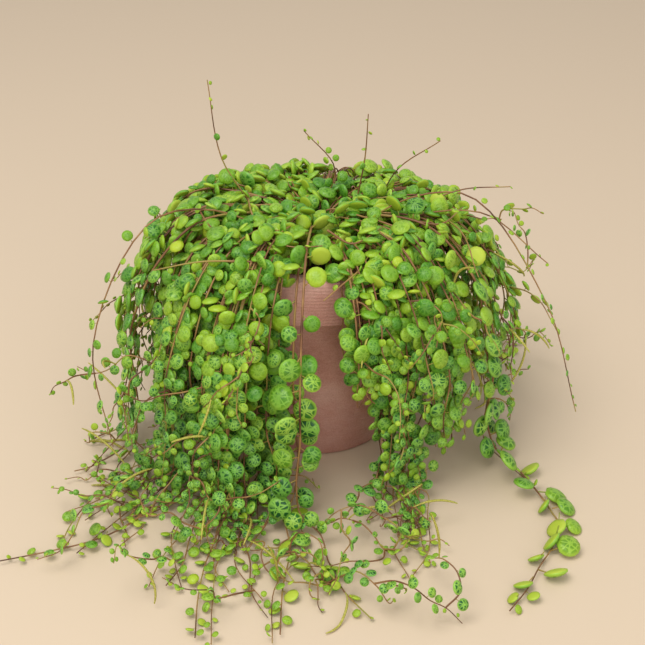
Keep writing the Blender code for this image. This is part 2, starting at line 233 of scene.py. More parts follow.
tree.links.new(bump, shader.inputs["Normal"])
pot.data.materials.append(clay)
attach(pot, "root")
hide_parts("pot")

# ---------------------------------------------------------------------------------------------
# Potting soil. Dark peat with bark and grit, pressed in by hand to a little below the rim.
# It only shows between the stems.
# ---------------------------------------------------------------------------------------------
SOIL_BELOW_RIM = 0.012
SOIL_DOME = 0.003
SOIL_BUMP = 0.001
SOIL_BUMPS_PER_METRE = 120.0
SOIL_RINGS = 26
SOIL_SIDES = 96
CRUMB = 0.0024
GAP = 0.0004


def soil_surface(x, y):
    edge = inner_radius(POT_HEIGHT - SOIL_BELOW_RIM)
    dome = SOIL_DOME * (1.0 - (x * x + y * y) / (edge * edge))
    bump = SOIL_BUMP * noise.noise(Vector((x, y, 0.0)) * SOIL_BUMPS_PER_METRE)
    return POT_HEIGHT - SOIL_BELOW_RIM + dome + bump


low, high = POT_FLOOR + GAP, POT_HEIGHT - SOIL_BELOW_RIM
edge_low, edge_high = inner_radius(low) - GAP, inner_radius(high) - GAP
soil_outline = [(0.0, low), (edge_low, low), (edge_high, high)]
soil_outline += [(edge_high * (1 - ring / SOIL_RINGS), high) for ring in range(1, SOIL_RINGS + 1)]
soil = turned("potting_soil_bed", soil_outline, SOIL_SIDES)
for vert in soil.data.vertices:
    if vert.co.z > high - 1e-6 and vert.co.xy.length < edge_high * 0.99:
        crumb = abs(noise.noise(vert.co / CRUMB)) * CRUMB - CRUMB / 2
        vert.co.z = soil_surface(vert.co.x, vert.co.y) + crumb
select_only(soil)
bpy.ops.object.shade_smooth_by_angle(angle=math.radians(25))

# Peat and bark: very dark brown crumbs a few millimetres across, paler where they stand up.
peat, tree, shader = new_material("peat_damp_and_crumbled", Roughness=0.95, Specular_IOR_Level=0.2)
place = add_node(tree, "ShaderNodeTexCoord")["Object"]
crumbs = add_node(tree, "ShaderNodeTexVoronoi", {"Vector": place, "Scale": 1 / CRUMB})["Distance"]
brown = add_node(tree, "ShaderNodeValToRGB", {"Fac": crumbs},
                 [(0.1, "#1E140D"), (0.5, "#3A281B"), (0.9, "#5B4330")])["Color"]
tree.links.new(brown, shader.inputs["Base Color"])
bump = add_node(tree, "ShaderNodeBump", {"Height": crumbs, "Strength": 0.8, "Distance": 0.001})["Normal"]
tree.links.new(bump, shader.inputs["Normal"])
soil.data.materials.append(peat)
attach(soil, "root")
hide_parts("potting_soil")

# ---------------------------------------------------------------------------------------------
# One leaf. A round, fleshy, domed blade on a short stalk that joins it near its edge. It is
# modelled once, one unit across, and every leaf of the plant is a copy, 1 to 14 mm across.
# ---------------------------------------------------------------------------------------------
BLADE_SIDES = 14
BLADE_RINGS = 5
BLADE_REACH = 0.72
BLADE_LIFT = 0.20
BLADE_EDGE = 0.04
TOP_DOME = 0.17
BOTTOM_DOME = 0.08
STALK_WIDTH = 0.062
STALK_INSET = 0.30
# The blade's edge is drawn in a little where the stalk passes it.
NOTCH_FROM = 0.36
NOTCH_NARROWS = 5
NOTCH_DEPTH = 0.35
# The five finishes of a plant piece, by their places in its list of materials.
FACE, UNDERSIDE, STALK, STEM, SPIKE = range(5)

bpy.ops.object.select_all(action="DESELECT")
bpy.ops.mesh.primitive_uv_sphere_add(segments=BLADE_SIDES, ring_count=BLADE_RINGS, radius=0.5)
blade = bpy.context.active_object
widest = max(vert.co.xy.length for vert in blade.data.vertices)
for vert in blade.data.vertices:
    out = min(vert.co.xy.length / widest, 1.0)
    dome = TOP_DOME * (1 - out ** 2.2) if vert.co.z > 0 else -BOTTOM_DOME * (1 - out ** 2.4)
    vert.co.z = dome + math.copysign(BLADE_EDGE, vert.co.z)
    vert.co.xy *= 0.5 / widest
    by_stalk = max(0.0, -vert.co.y - NOTCH_FROM) * max(0.0, 1 - abs(vert.co.x) * NOTCH_NARROWS)
    vert.co.y += by_stalk * NOTCH_DEPTH
    vert.co += Vector((0.0, BLADE_REACH, BLADE_LIFT))
joint = Vector((0.0, BLADE_REACH - STALK_INSET, BLADE_LIFT))
bpy.ops.mesh.primitive_cylinder_add(vertices=4, radius=STALK_WIDTH / 2, depth=joint.length)
stalk = bpy.context.active_object
stalk.data.transform(Matrix.Translation(joint / 2) @ joint.to_track_quat("Z", "Y").to_matrix().to_4x4())
leaf_points, leaf_faces, leaf_slots = [], [], []
for part in (blade, stalk):
    first = len(leaf_points)
    leaf_points += [tuple(vert.co) for vert in part.data.vertices]
    for face in part.data.polygons:
        leaf_faces.append(tuple(first + index for index in face.vertices))
        blade_slot = UNDERSIDE if face.normal.z < -0.3 else FACE
        leaf_slots.append(blade_slot if part is blade else STALK)
for part in (blade, stalk):
    bpy.data.objects.remove(part)
leaf_points = np.array(leaf_points)
leaf_uv = leaf_points[:, :2] - (0.0, BLADE_REACH) + (0.5, 0.5)

# Living leaf, upper face: waxy and half gloss, with a net of pale veins that parts it into dark
# panels like a shell, and a paler rim. Some leaves are nearly plain, young ones yellow green.
VEINS = 7
PANELS_ACROSS = 3.6
leaf_face, tree, shader = new_material(
    "peperomia_leaf_waxy_face", Roughness=0.33, Specular_IOR_Level=0.36, Subsurface_Weight=0.06,
    Subsurface_Radius=(0.0012, 0.0020, 0.0004), Subsurface_Scale=1.0)
tone = add_node(tree, "ShaderNodeAttribute", attribute_name="leaf_tone")["Fac"]
youth = add_node(tree, "ShaderNodeAttribute", attribute_name="leaf_youth")["Fac"]
mark = add_node(tree, "ShaderNodeAttribute", attribute_name="leaf_mark")["Fac"]
uv = add_node(tree, "ShaderNodeUVMap", uv_map="leaf_uv")["UV"]
seed = add_node(tree, "ShaderNodeMath", {0: tone, 1: 37.0}, operation="MULTIPLY")[0]
wobble = add_node(tree, "ShaderNodeTexNoise", {"Vector": uv, "W": seed, "Scale": 3.0},
                  noise_dimensions="4D")["Color"]
centred = add_node(tree, "ShaderNodeVectorMath", {0: uv, 1: (0.5, 0.5, 0.0)}, operation="SUBTRACT")[0]
bent = add_node(tree, "ShaderNodeVectorMath", {0: wobble, 1: (0.16, 0.16, 0.0), 2: centred},
                operation="MULTIPLY_ADD")[0]
bent = add_node(tree, "ShaderNodeVectorMath", {0: bent, 1: (0.08, 0.08, 0.0)}, operation="SUBTRACT")[0]
radius = add_node(tree, "ShaderNodeVectorMath", {0: centred}, operation="LENGTH")["Value"]
axes = add_node(tree, "ShaderNodeSeparateXYZ", {0: bent})
angle = add_node(tree, "ShaderNodeMath", {0: axes["X"], 1: axes["Y"]}, operation="ARCTAN2")[0]
spread = add_node(tree, "ShaderNodeMath", {0: angle, 1: VEINS / 2}, operation="MULTIPLY")[0]
across = add_node(tree, "ShaderNodeMath", {0: spread}, operation="SINE")[0]
across = add_node(tree, "ShaderNodeMath", {0: across}, operation="ABSOLUTE")[0]
from_vein = add_node(tree, "ShaderNodeMath", {0: across, 1: radius}, operation="MULTIPLY")[0]
vein = add_node(tree, "ShaderNodeMapRange", {"Value": from_vein, "From Min": 0.030, "From Max": 0.120,
                                             "To Min": 1.0, "To Max": 0.0})["Result"]
cells = add_node(tree, "ShaderNodeTexVoronoi", {"Vector": bent, "W": seed, "Scale": PANELS_ACROSS},
                 voronoi_dimensions="4D", feature="DISTANCE_TO_EDGE")["Distance"]
net = add_node(tree, "ShaderNodeMapRange", {"Value": cells, "From Min": 0.03, "From Max": 0.12,
                                            "To Min": 0.9, "To Max": 0.0})["Result"]
rim = add_node(tree, "ShaderNodeMapRange", {"Value": radius, "From Min": 0.38, "From Max": 0.47})["Result"]
shell = add_node(tree, "ShaderNodeMath", {0: vein, 1: net}, operation="MAXIMUM")[0]
shell = add_node(tree, "ShaderNodeMath", {0: shell, 1: rim}, operation="MAXIMUM")[0]
core = add_node(tree, "ShaderNodeMapRange", {"Value": radius, "From Min": 0.10, "From Max": 0.42,
                                             "To Min": 0.45, "To Max": 0.0})["Result"]
panel = add_node(tree, "ShaderNodeValToRGB", {"Fac": tone},
                 [(0.0, "#0A4220"), (0.5, "#165A1E"), (1.0, "#2F7416")])["Color"]
pale = add_node(tree, "ShaderNodeValToRGB", {"Fac": tone},
                [(0.0, "#7AB84A"), (0.5, "#90C24A"), (1.0, "#AACA48")])["Color"]
plain = add_node(tree, "ShaderNodeValToRGB", {"Fac": tone},
                 [(0.0, "#286508"), (0.35, "#47850E"), (0.7, "#78A616"), (1.0, "#A6C22C")])["Color"]
fresh = add_node(tree, "ShaderNodeValToRGB", {"Fac": tone},
                 [(0.0, "#82AC1C"), (0.5, "#9CBA24"), (1.0, "#B6C834")])["Color"]
marked = add_node(tree, "ShaderNodeMix", {0: shell, 6: panel, 7: pale}, data_type="RGBA")[2]
veined = add_node(tree, "ShaderNodeMath", {0: shell, 1: 0.35}, operation="MULTIPLY")[0]
cored = add_node(tree, "ShaderNodeMix", {0: core, 6: plain, 7: panel}, data_type="RGBA")[2]
quiet = add_node(tree, "ShaderNodeMix", {0: veined, 6: cored, 7: pale}, data_type="RGBA")[2]
mature = add_node(tree, "ShaderNodeMix", {0: mark, 6: quiet, 7: marked}, data_type="RGBA")[2]
colour = add_node(tree, "ShaderNodeMix", {0: youth, 6: mature, 7: fresh}, data_type="RGBA")[2]
tree.links.new(colour, shader.inputs["Base Color"])
bump = add_node(tree, "ShaderNodeBump", {"Height": shell, "Strength": 0.35, "Distance": 0.0003},
                invert=True)["Normal"]
tree.links.new(bump, shader.inputs["Normal"])

# Living leaf, underside: no net, softer and pale yellow green.
leaf_back, tree, shader = new_material(
    "peperomia_leaf_pale_underside", Roughness=0.5, Specular_IOR_Level=0.3)
tone = add_node(tree, "ShaderNodeAttribute", attribute_name="leaf_tone")["Fac"]
back = add_node(tree, "ShaderNodeValToRGB", {"Fac": tone},
                [(0.0, "#86A424"), (0.5, "#A2BB30"), (1.0, "#BCCB48")])["Color"]
tree.links.new(back, shader.inputs["Base Color"])

# Leaf stalk: soft green tinged with tan. It is under a millimetre wide, so it needs no pattern
# beyond a slow drift of colour.
leaf_stalk, tree, shader = new_material("peperomia_leaf_stalk", Roughness=0.5, Specular_IOR_Level=0.3)
place = add_node(tree, "ShaderNodeTexCoord")["Object"]
drift = add_node(tree, "ShaderNodeTexNoise", {"Vector": place, "Scale": 90.0})["Fac"]
tan = add_node(tree, "ShaderNodeValToRGB", {"Fac": drift}, [(0.35, "#8E9A35"), (0.65, "#A8834A")])["Color"]
tree.links.new(tan, shader.inputs["Base Color"])

# Stem: thin ripe skin, half gloss, dark red brown that drifts to tan and now and then to green.
stem_skin, tree, shader = new_material("peperomia_stem_ripe_skin", Roughness=0.45, Specular_IOR_Level=0.35)
place = add_node(tree, "ShaderNodeTexCoord")["Object"]
drift = add_node(tree, "ShaderNodeTexNoise", {"Vector": place, "Scale": 45.0, "Detail": 3.0})["Fac"]
ripe = add_node(tree, "ShaderNodeValToRGB", {"Fac": drift},
                [(0.32, "#5A3A26"), (0.45, "#845A3A"), (0.56, "#A27C4A"), (0.66, "#98903E")])["Color"]
tree.links.new(ripe, shader.inputs["Base Color"])
fine = add_node(tree, "ShaderNodeTexNoise", {"Vector": place, "Scale": 1500.0})["Fac"]
bump = add_node(tree, "ShaderNodeBump", {"Height": fine, "Strength": 0.3, "Distance": 0.0002})["Normal"]
tree.links.new(bump, shader.inputs["Normal"])

# Flower spike: a smooth tail packed with flowers under a millimetre wide, seen as a fine pimple
# of yellow green over tan.
FLOWER = 0.0007
spike_skin, tree, shader = new_material("peperomia_flower_spike", Roughness=0.55, Specular_IOR_Level=0.25)
place = add_node(tree, "ShaderNodeTexCoord")["Object"]
dots = add_node(tree, "ShaderNodeTexVoronoi", {"Vector": place, "Scale": 1 / FLOWER})["Distance"]
green = add_node(tree, "ShaderNodeValToRGB", {"Fac": dots}, [(0.2, "#C6BE62"), (0.7, "#A09A3A")])["Color"]
tree.links.new(green, shader.inputs["Base Color"])
bump = add_node(tree, "ShaderNodeBump", {"Height": dots, "Strength": 0.5, "Distance": 0.0003},
                invert=True)["Normal"]
tree.links.new(bump, shader.inputs["Normal"])
plant_finishes = [leaf_face, leaf_back, leaf_stalk, stem_skin, spike_skin]

# ---------------------------------------------------------------------------------------------
# Trailing stems. Each is a rooted stem up to 1.4 mm thick that has branched, with a round leaf at
# every joint. It climbs out of the soil, crosses the rim, and hangs free or runs out along the
# floor. It is laid out from the same places as the frame's stem of its number, and branches
# spread beside it.
# ---------------------------------------------------------------------------------------------
STEM_RADIUS = 0.0008
LIE_HEIGHT = 0.0026
SHORTEST_HANG = 0.0120
LAYERS = {
    "inner": {"root": 0.043, "over_rim": 0.0050, "stand_off": 0.0095},
    "middle": {"root": 0.031, "over_rim": 0.0100, "stand_off": 0.0250},
    "outer": {"root": 0.018, "over_rim": 0.0150, "stand_off": 0.0400},
}
# Stems at the back cross the rim lower. From the rim a stem slopes out in these steps: a share of
# its layer's stand-off outward, a share of it downward, and a further drop.
BACK_DROP = 0.5
SLOPE = ((0.55, 0.35, 0.004), (0.88, 0.75, 0.012), (1.0, 0.60, 0.034))
HANGING = {
    "inner": [(-158, 0.020), (-72, 0.062), (-50, 0.034), (-24, 0.014), (2, 0.040), (28, 0.022),
              (54, 0.030), (80, 0.016), (106, 0.034), (132, 0.020), (158, 0.030), (180, 0.016)],
    "middle": [(-170, 0.036), (-76, 0.058), (-37, 0.016), (-12, 0.044), (15, 0.024), (41, 0.040),
               (67, 0.020), (119, 0.028), (145, 0.018), (168, 0.044)],
    "outer": [(-173, 0.048), (-50, 0.030), (3, 0.030), (52, 0.036), (82, 0.046), (132, 0.034),
              (156, 0.040)],
}
LYING = {
    "inner": [(-132, [(-0.072, -0.084), (-0.094, -0.098)]),
              (-108, [(-0.034, -0.112), (-0.030, -0.150)])],
    "middle": [(-147, [(-0.094, -0.068), (-0.114, -0.087), (-0.121, -0.118)]),
               (-121, [(-0.060, -0.112), (-0.068, -0.146)]),
               (-97, [(-0.012, -0.118), (-0.015, -0.178)]),
               (-60, [(0.050, -0.104), (0.054, -0.130)]),
               (93, [(-0.006, 0.108), (-0.016, 0.124)])],
    "outer": [(-159, [(-0.112, -0.050), (-0.124, -0.058)]),
              (-135, [(-0.081, -0.088), (-0.103, -0.112), (-0.148, -0.129)]),
              (-114, [(-0.050, -0.124), (-0.052, -0.180)]),
              (-94, [(0.006, -0.128), (0.025, -0.168)]),
              (-26, [(0.113, -0.080), (0.119, -0.103), (0.104, -0.134), (0.087, -0.163)]),
              (28, [(0.104, 0.060), (0.120, 0.074)]),
              (108, [(-0.036, 0.110), (-0.048, 0.122)])],
}
HANG_STEP = 0.026
SWAY = 0.0022
BRANCH_SWAY = 0.005
LYING_WANDER = 1.6
# Where a stem that has hung down turns to lie: this far out and this far up.
TURN_OUT, TURN_UP = 0.003, 0.007
UP = Vector((0.0, 0.0, 1.0))


def polar(radius, azimuth, height):
    angle = math.radians(azimuth)
    return Vector((radius * math.cos(angle), radius * math.sin(angle), height))


def scatter(rng, size):
    return Vector([rng.uniform(-size, size) for _ in range(3)])


def smooth_curve(points, per_span=7):
    """Points along a curve through the given ones that doesn't swing past them."""
    gaps = [(b - a).length for a, b in zip(points, points[1:])]
    slopes = [(b - a) / gap for a, b, gap in zip(points, points[1:], gaps)]
    ways = [slopes[0]]
    for before, after, gap_before, gap_after in zip(slopes, slopes[1:], gaps, gaps[1:]):
        ways.append((before * gap_after + after * gap_before) / (gap_before + gap_after))
    ways.append(slopes[-1])
    curve = []
    for a, b, way_a, way_b, gap in zip(points, points[1:], ways, ways[1:], gaps):
        handles = (a + way_a * gap / 3, b - way_b * gap / 3)
        curve += interpolate_bezier(a, *handles, b, per_span + 1)[:-1]
    return curve + [points[-1].copy()]


class Route:
    """A smooth line read by its length, with an outer side that is carried along untwisted."""

    def __init__(self, points, facing=None):
        self.points = smooth_curve(points)
        self.marks = [0.0]
        for a, b in zip(self.points, self.points[1:]):
            self.marks.append(self.marks[-1] + (b - a).length)
        self.length = self.marks[-1]
        facing = facing or -Vector((*self.points[0].xy, 0.0))
        self.facings = []
        for index in range(len(self.points)):
            along = self.points[min(index + 1, len(self.points) - 1)] - self.points[max(index - 1, 0)]
            along.normalize()
            facing = (facing - along * facing.dot(along)).normalized()
            self.facings.append(facing.copy())

    def read(self, distance):
        """Place, direction and outer side at a distance from the root."""
        distance = min(max(distance, 0.0), self.length - 1e-6)
        index = next(i for i, mark in enumerate(self.marks[1:]) if mark >= distance)
        low, high = self.marks[index], self.marks[index + 1]
        share = (distance - low) / max(high - low, 1e-9)
        here, there = self.points[index], self.points[index + 1]
        along = (there - here).normalized()
        facing = self.facings[index].lerp(self.facings[index + 1], share)
        return here.lerp(there, share), along, (facing - along * facing.dot(along)).normalized()


def over_the_rim(azimuth, layer):
    """From the soil, over the rim and out to where the stem starts to hang."""
    root, stand_off = layer["root"], layer["stand_off"]
    kept = 1.0 - BACK_DROP * max(0.0, math.sin(math.radians(azimuth)))
    crest = POT_HEIGHT + layer["over_rim"] * kept
    foot = polar(root, azimuth, 0.0)
    foot.z = soil_surface(foot.x, foot.y) + GAP + STEM_RADIUS
    return [
        foot,
        polar(root + 0.001, azimuth, crest - 0.006),
        polar((root + RIM_RADIUS) * 0.5, azimuth, crest),
        polar(RIM_RADIUS + 0.001, azimuth, crest - 0.001),
    ] + [
        polar(RIM_RADIUS + stand_off * out, azimuth, crest - stand_off * down - drop)
        for out, down, drop in SLOPE
    ]


def sway(rng, size):
    return Vector((rng.uniform(-size, size), rng.uniform(-size, size), 0.0))


def hanging_route(azimuth, tip_height, layer, rng, swing=SWAY):
    points = over_the_rim(azimuth, layer)
    hang, top = RIM_RADIUS + layer["stand_off"], points[-1].z
    tip_height = min(tip_height, top - SHORTEST_HANG)
    steps = max(2, round((top - tip_height) / HANG_STEP))
    for step in range(1, steps + 1):
        height = top + (tip_height - top) * step / steps
        points.append(polar(hang, azimuth, height) + sway(rng, swing))
    return Route(points)


def lying_route(azimuth, places, layer, rng, swing=SWAY):
    points = over_the_rim(azimuth, layer)
    hang, top = RIM_RADIUS + layer["stand_off"], points[-1].z
    for share in (0.33, 0.66):
        points.append(polar(hang, azimuth, top * (1 - share)) + sway(rng, swing))
    points.append(polar(hang + TURN_OUT, azimuth, LIE_HEIGHT + TURN_UP))
    for x, y in places:
        place = Vector((x, y, LIE_HEIGHT))
        points += [(points[-1] + place) / 2 + sway(rng, swing * LYING_WANDER), place]
    route = Route(points)
    for point in route.points:
        point.z = max(point.z, LIE_HEIGHT)
    return route


TWIG_STEPS = 5
# Twigs that leave a stem above this height reach only this share as far.
TWIG_HIGH, TWIG_HIGH_SHARE = 0.085, 0.55


def side_route(route, rng, reach, lying):
    """A thin shoot that leaves an older one, reaches out, and sinks until it lies down."""
    curl, start = (0.8, 0.60) if lying else (0.5, 0.42)
    point, along, out = route.read(route.length * rng.uniform(start, 0.97))
    if point.z > TWIG_HIGH:
        reach *= TWIG_HIGH_SHARE
    across = along.cross(out) * rng.choice((-1, 1))
    way = along * rng.uniform(0.0, 0.8) + out * rng.uniform(0.1, 0.8) + across * rng.uniform(0.2, 1.0)
    way.normalize()
    points = [point]
    for _ in range(TWIG_STEPS):
        point = point + way * reach / TWIG_STEPS
        point.z = max(point.z, LIE_HEIGHT * rng.uniform(0.4, 1.4))
        points.append(point)
        way = (way + scatter(rng, curl) - UP * rng.uniform(0.1, 0.55)).normalized()
    return Route(points, out)


# The stretch of pot a little right of its front that the stems leave bare. A point in front of it
# hides the place on the pot that lies behind and below it, along SIGHT_SLOPE. The stretch widens
# to the right as it goes down.
FRONT = -0.045
POT_FACE = -0.056
SIGHT_SLOPE = 0.575
BARE_LOW, BARE_HIGH = 0.006, 0.112
BARE_LEFT, BARE_LEFT_ON_COLLAR = 0.001, -0.013
COLLAR_SHOWS = 0.088
BARE_RIGHT, BARE_WIDENING = 0.009, 0.019
WIDENS_FROM, WIDENS_OVER = 0.089, 0.075


def in_bare_stretch(point):
    """True where a point would hide the bare stretch of pot from someone looking down at it."""
    if point.y > FRONT:
        return False
    height = point.z - (POT_FACE - point.y) * SIGHT_SLOPE
    left = BARE_LEFT_ON_COLLAR if height > COLLAR_SHOWS else BARE_LEFT
    right = BARE_RIGHT + BARE_WIDENING * min(max((WIDENS_FROM - height) / WIDENS_OVER, 0.0), 1.0) ** 1.3
    return BARE_LOW < height < BARE_HIGH and left < point.x < right


# The gap at the back of the crown where the rim shows between the stems.
BACK_GAP = (0.002, 0.024)


def in_back_gap(point):
    return BACK_GAP[0] < point.x < BACK_GAP[1] and point.y > 0.034 and point.z > POT_HEIGHT - 0.003


# How far branches, twigs and spikes may grow past the frame's box.
REACH = 0.006


def grows_clear(points):
    """True for a line that stays by the frame's own size and out of the bare stretch."""
    low, high = cad_low - Vector.Fill(3, REACH), cad_high + Vector.Fill(3, REACH)
    return all(
        low.x < point.x < high.x and low.y < point.y < high.y and point.z < high.z
        and not in_bare_stretch(point) for point in points
    )


# Leaves above CROWN_HEIGHT sit on the crown and those below FLOOR_HEIGHT lie down. Past OPEN_FLOOR
# from the pot's axis the floor is in full light.
CROWN_HEIGHT = 0.104
CROWN_WIDTH = 0.0098
FLOOR_HEIGHT = 0.009
OPEN_FLOOR = 0.120
# How far behind a shoot's tip its leaves are full grown, and how far they are still yellow.
FULL_GROWN = 0.032
YELLOW_TIP = 0.024
# Painted shade: leaves are given a darker tone up to SHADE_TOP and a lighter one over the next LIGHT_RISE
# of height.
SHADE_TOP, LIGHT_RISE = 0.03, 0.08


def leaf_spots(shoot, rng):
    """Where one shoot's leaves go, as (foot, direction, facing, width, youth, tone, marking)."""
    route = shoot["route"]
    spots = []
    side, distance = rng.choice((-1, 1)), shoot["first"]
    while distance < route.length:
        point, along, out = route.read(distance)
        left = route.length - distance
        grown = min(1.0, left / FULL_GROWN)
        in_crown, on_floor = point.z > CROWN_HEIGHT, point.z < FLOOR_HEIGHT
        width = shoot["tip_width"] + (shoot["width"] - shoot["tip_width"]) * grown
        width *= rng.triangular(0.60, 1.16, 0.95) * (shoot["floor_share"] if on_floor else 1.0)
        if in_crown:
            width = min(width, CROWN_WIDTH)
        jitter = 1.5 if in_crown else 0.55
        outward = Vector((*point.xy.normalized(), 0.0))
        facing = out + UP * 0.3 + outward * 0.35 + scatter(rng, jitter)
        way = along.cross(out) * side + along * rng.uniform(-0.8, 0.8) + UP * rng.uniform(-0.5, 0.3)
        if on_floor:
            way.z = max(way.z, 0.0)
            turned_over = rng.random() < (0.15 if point.xy.length < OPEN_FLOOR else 0.50)
            facing.z = max(facing.z, 0.6) * (-1 if turned_over else 1)
        elif point.z < POT_HEIGHT and point.xy.length > BASE_RADIUS:
            way += outward * max(0.0, 0.25 - way.dot(outward))
        facing.normalize()
        way = (way - facing * way.dot(facing)).normalized()
        youth = max(0.0, 1.0 - left / YELLOW_TIP) * rng.uniform(0.4, 1.0)
        if rng.random() < 0.05 and width < CROWN_WIDTH:
            youth = rng.uniform(0.6, 1.0)
        # Painted shade: lower leaves get a darker tone and higher ones a lighter one; higher leaves also
        # get less of the net.
        light = min(max((point.z - SHADE_TOP) / LIGHT_RISE, 0.0), 1.0)
        tone = min(1.0, rng.uniform(0.0, 0.75) + 0.25 * light)
        marking = min(1.0, max(0.0, rng.uniform(0.45, 1.4) - 0.85 * light))
        # Painted light: leaves that lie out on the open floor get a lighter tone and a fainter net.
        if on_floor and point.xy.length > OPEN_FLOOR:
            marking *= 0.4
            tone = 0.5 + tone / 2
        if not in_bare_stretch(point + way * width) and not in_back_gap(point + way * width):
            spots.append((point, way, facing, width, youth, tone, marking))
        side = -side
        loose = 1.3 if on_floor or in_crown else 1.0
        distance += shoot["spacing"] * rng.uniform(0.7, 1.3) * (0.55 + 0.45 * grown) * loose
    return spots


LEAF_CLEARANCE = 0.0003


def stamp_leaves(name, spots):
    """One mesh that holds a copy of the leaf at every spot, lifted where it would sink in the floor."""
    count, size = len(spots), len(leaf_points)
    points = np.empty((count, size, 3))
    for index, (foot, way, facing, width, *_) in enumerate(spots):
        points[index] = leaf_points @ (np.array([way.cross(facing), way, facing]) * width) + np.array(foot)
    sunk = np.maximum(LEAF_CLEARANCE - points[:, :, 2].min(axis=1), 0.0)
    points[:, :, 2] += sunk[:, None]
    faces = []
    for index in range(count):
        faces += [tuple(corner + size * index for corner in face) for face in leaf_faces]
    mesh = bpy.data.meshes.new(name)
    mesh.from_pydata(points.reshape(-1, 3).tolist(), [], faces)
    mesh.polygons.foreach_set("material_index", leaf_slots * count)
    corners = np.empty(len(mesh.loops), dtype=int)
    mesh.loops.foreach_get("vertex_index", corners)
    layer = mesh.uv_layers.new(name="leaf_uv")
    layer.data.foreach_set("uv", leaf_uv[corners % size].ravel())
    for place, attribute in enumerate(("leaf_youth", "leaf_tone", "leaf_mark"), 4):
        values = mesh.attributes.new(attribute, "FLOAT", "POINT")
        values.data.foreach_set("value", np.repeat([spot[place] for spot in spots], size))
    for finish in plant_finishes:
        mesh.materials.append(finish)
    obj = bpy.data.objects.new(name, mesh)
    scene.collection.objects.link(obj)
    return obj


def draw_stems(name, lines):
    """Round tubes along (points, radii, slot) lines, as one mesh."""
    curve = bpy.data.curves.new(name, "CURVE")
    curve.dimensions = "3D"
    curve.bevel_depth = 1.0
    curve.bevel_resolution = 1
    curve.use_fill_caps = True
    for finish in plant_finishes:
        curve.materials.append(finish)
    for points, radii, slot in lines:
        spline = curve.splines.new("POLY")
        spline.points.add(len(points) - 1)
        for target, point, radius in zip(spline.points, points, radii):
            target.co = (*point, 1.0)
            target.radius = radius
        spline.material_index = slot
    obj = bpy.data.objects.new(name, curve)
    scene.collection.objects.link(obj)
    select_only(obj)
    bpy.ops.object.convert(target="MESH")
    return bpy.context.active_object


SPIKE_RADIUS = 0.00060
SPIKE_CLEARANCE = 0.001
SPIKE_TAPER = (0.6, 0.6, 0.7, 0.9, 1.0, 1.0, 1.0, 1.0, 0.95, 0.9, 0.85, 0.7, 0.45)


def spike_line(point, along, out, rng):
    """A flower spike: a tapering tail that rises from a leaf joint and curls over."""
    step = rng.uniform(0.018, 0.036) / (len(SPIKE_TAPER) - 1)
    way = (out * rng.uniform(0.3, 0.8) + along * rng.uniform(-0.2, 1.0) + scatter(rng, 0.8)).normalized()
    axis = way.cross(UP + scatter(rng, 0.8)).normalized()
    curl = Matrix.Rotation(-rng.uniform(0.5, 2.0) / len(SPIKE_TAPER), 3, axis)
    points = [point]
    for _ in SPIKE_TAPER[1:]:
        point = point + way * step
        point.z = max(point.z, SPIKE_CLEARANCE)
        points.append(point)
        way = curl @ way
    return points, [SPIKE_RADIUS * share for share in SPIKE_TAPER], SPIKE


STEM_TAPER = 0.55


def grow_plant(name, node, shoots, spikes, rng):
    """Joins shoots, their leaves and some flower spikes into one piece that stands for a node."""
    lines, spots = [], []
    for shoot in shoots:
        points = shoot["route"].points
        last = len(points) - 1
        radii = [shoot["radius"] * (1.0 - STEM_TAPER * index / last) for index in range(last + 1)]
        lines.append((points, radii, STEM))
        spots += leaf_spots(shoot, rng)
    for _ in range(spikes):
        route = rng.choice(shoots)["route"]
        line = spike_line(*route.read(route.length * rng.uniform(0.25, 0.95)), rng)
        if grows_clear(line[0]):
            lines.append(line)
    piece = stamp_leaves(name, spots)
    stems = draw_stems(name + "_stems", lines)
    select_only(piece, stems)
    bpy.ops.object.join()
    bpy.ops.object.shade_smooth()
    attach(piece, "root")
    if node:
        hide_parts(node)
    return piece


# How many branches and twigs a stem has, by how it ends, and for the stems that differ.
GROWTH = {hanging_route: (4, 4), lying_route: (7, 11)}
OWN_GROWTH = {15: (2, 3), 17: (6, 4), 24: (2, 3), 25: (5, 6), 26: (9, 14), 28: (14, 10), 30: (1, 2),
              37: (2, 3), 39: (9, 14), 41: (2, 3)}
LARGE_LEAVED = {27: 0.0122, 40: 0.0115, 41: 0.0118}
